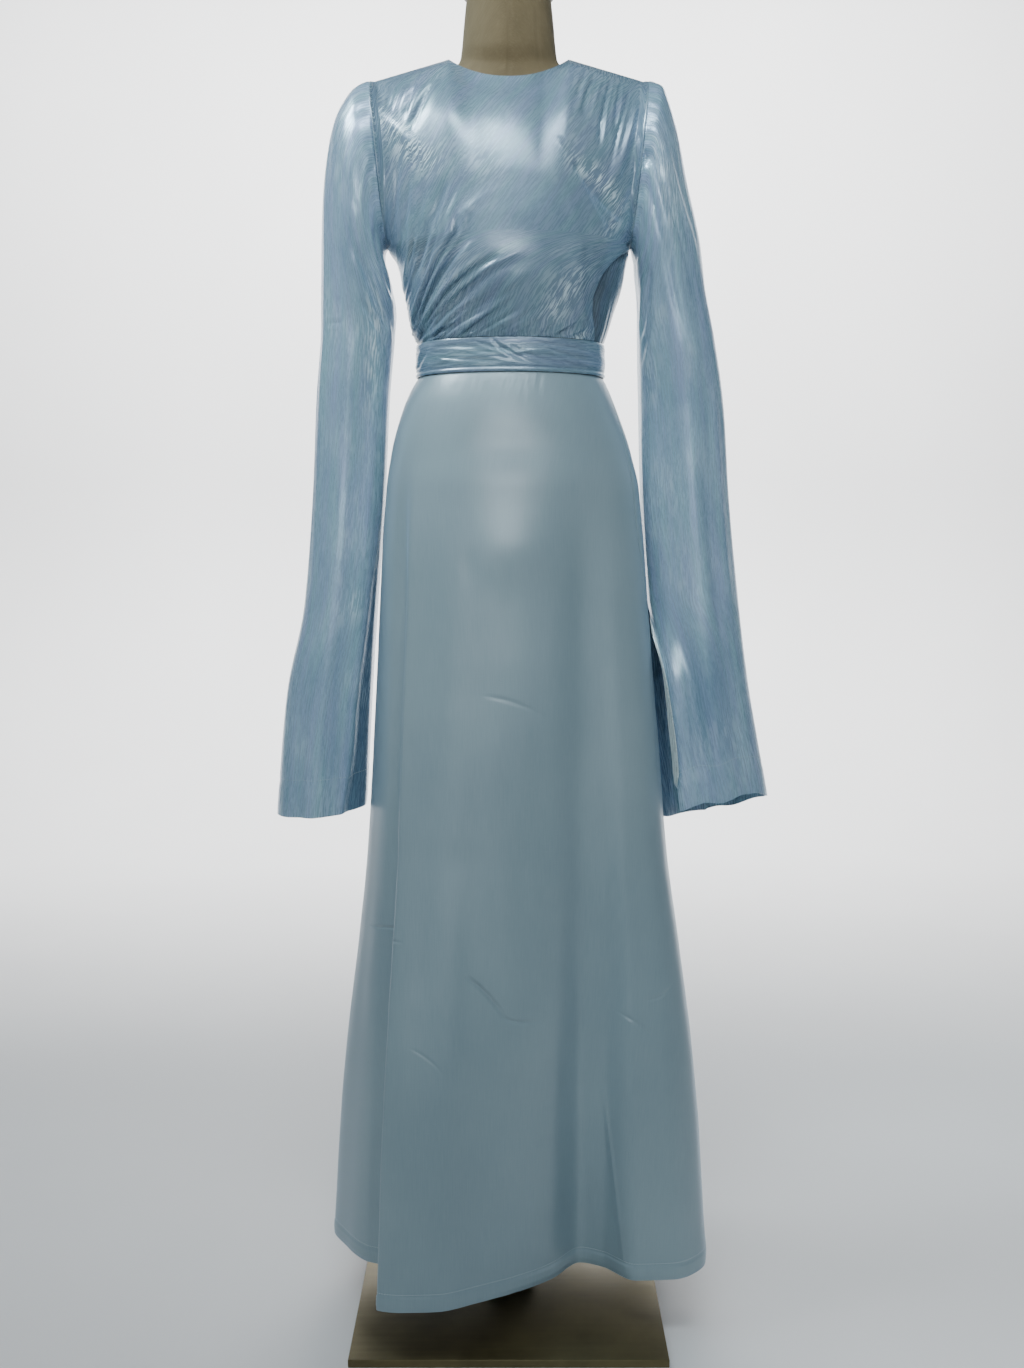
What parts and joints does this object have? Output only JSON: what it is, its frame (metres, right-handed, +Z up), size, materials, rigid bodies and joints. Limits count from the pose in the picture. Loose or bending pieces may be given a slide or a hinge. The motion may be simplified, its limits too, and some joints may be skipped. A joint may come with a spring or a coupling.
{
  "type": "maxi dress on a dress form",
  "caption": "Long satin dress with a draped pleated bodice, fitted waistband and long bell sleeves, worn by a limbless dress form on a square base plate.",
  "frame": {"origin": "middle of the base plate's underside", "axes": "+X to the viewer's right, +Y to the back of the dress, +Z up; the front of the dress faces -Y"},
  "size_m": [0.6396, 0.426, 1.6783],
  "materials": {
    "bodice_satin": "shimmering crinkled satin",
    "sleeve_satin": "shimmering crinkled satin",
    "skirt_satin": "smooth dull satin",
    "loop_thread": "twisted thread",
    "form_linen": "plain woven linen",
    "cap_wood": "satin varnish",
    "pole_steel": "brushed",
    "plate_bronze": "brushed bronze lacquer"
  },
  "bodies": {
    "root": {"bodice_front_drape": "bodice_satin", "bodice_front_side": "bodice_satin", "bodice_back_right": "bodice_satin", "bodice_back_left": "bodice_satin", "neck_button": "bodice_satin", "neck_loop": "loop_thread", "waistband_front": "bodice_satin", "waistband_back": "bodice_satin", "skirt_front": "skirt_satin", "skirt_back": "skirt_satin", "sleeve_right": "sleeve_satin", "sleeve_left": "sleeve_satin", "form_torso": "form_linen", "neck_cap": "cap_wood", "form_pole": "pole_steel", "pole_collar": "pole_steel", "base_plate": "plate_bronze"}
  },
  "joints": []
}
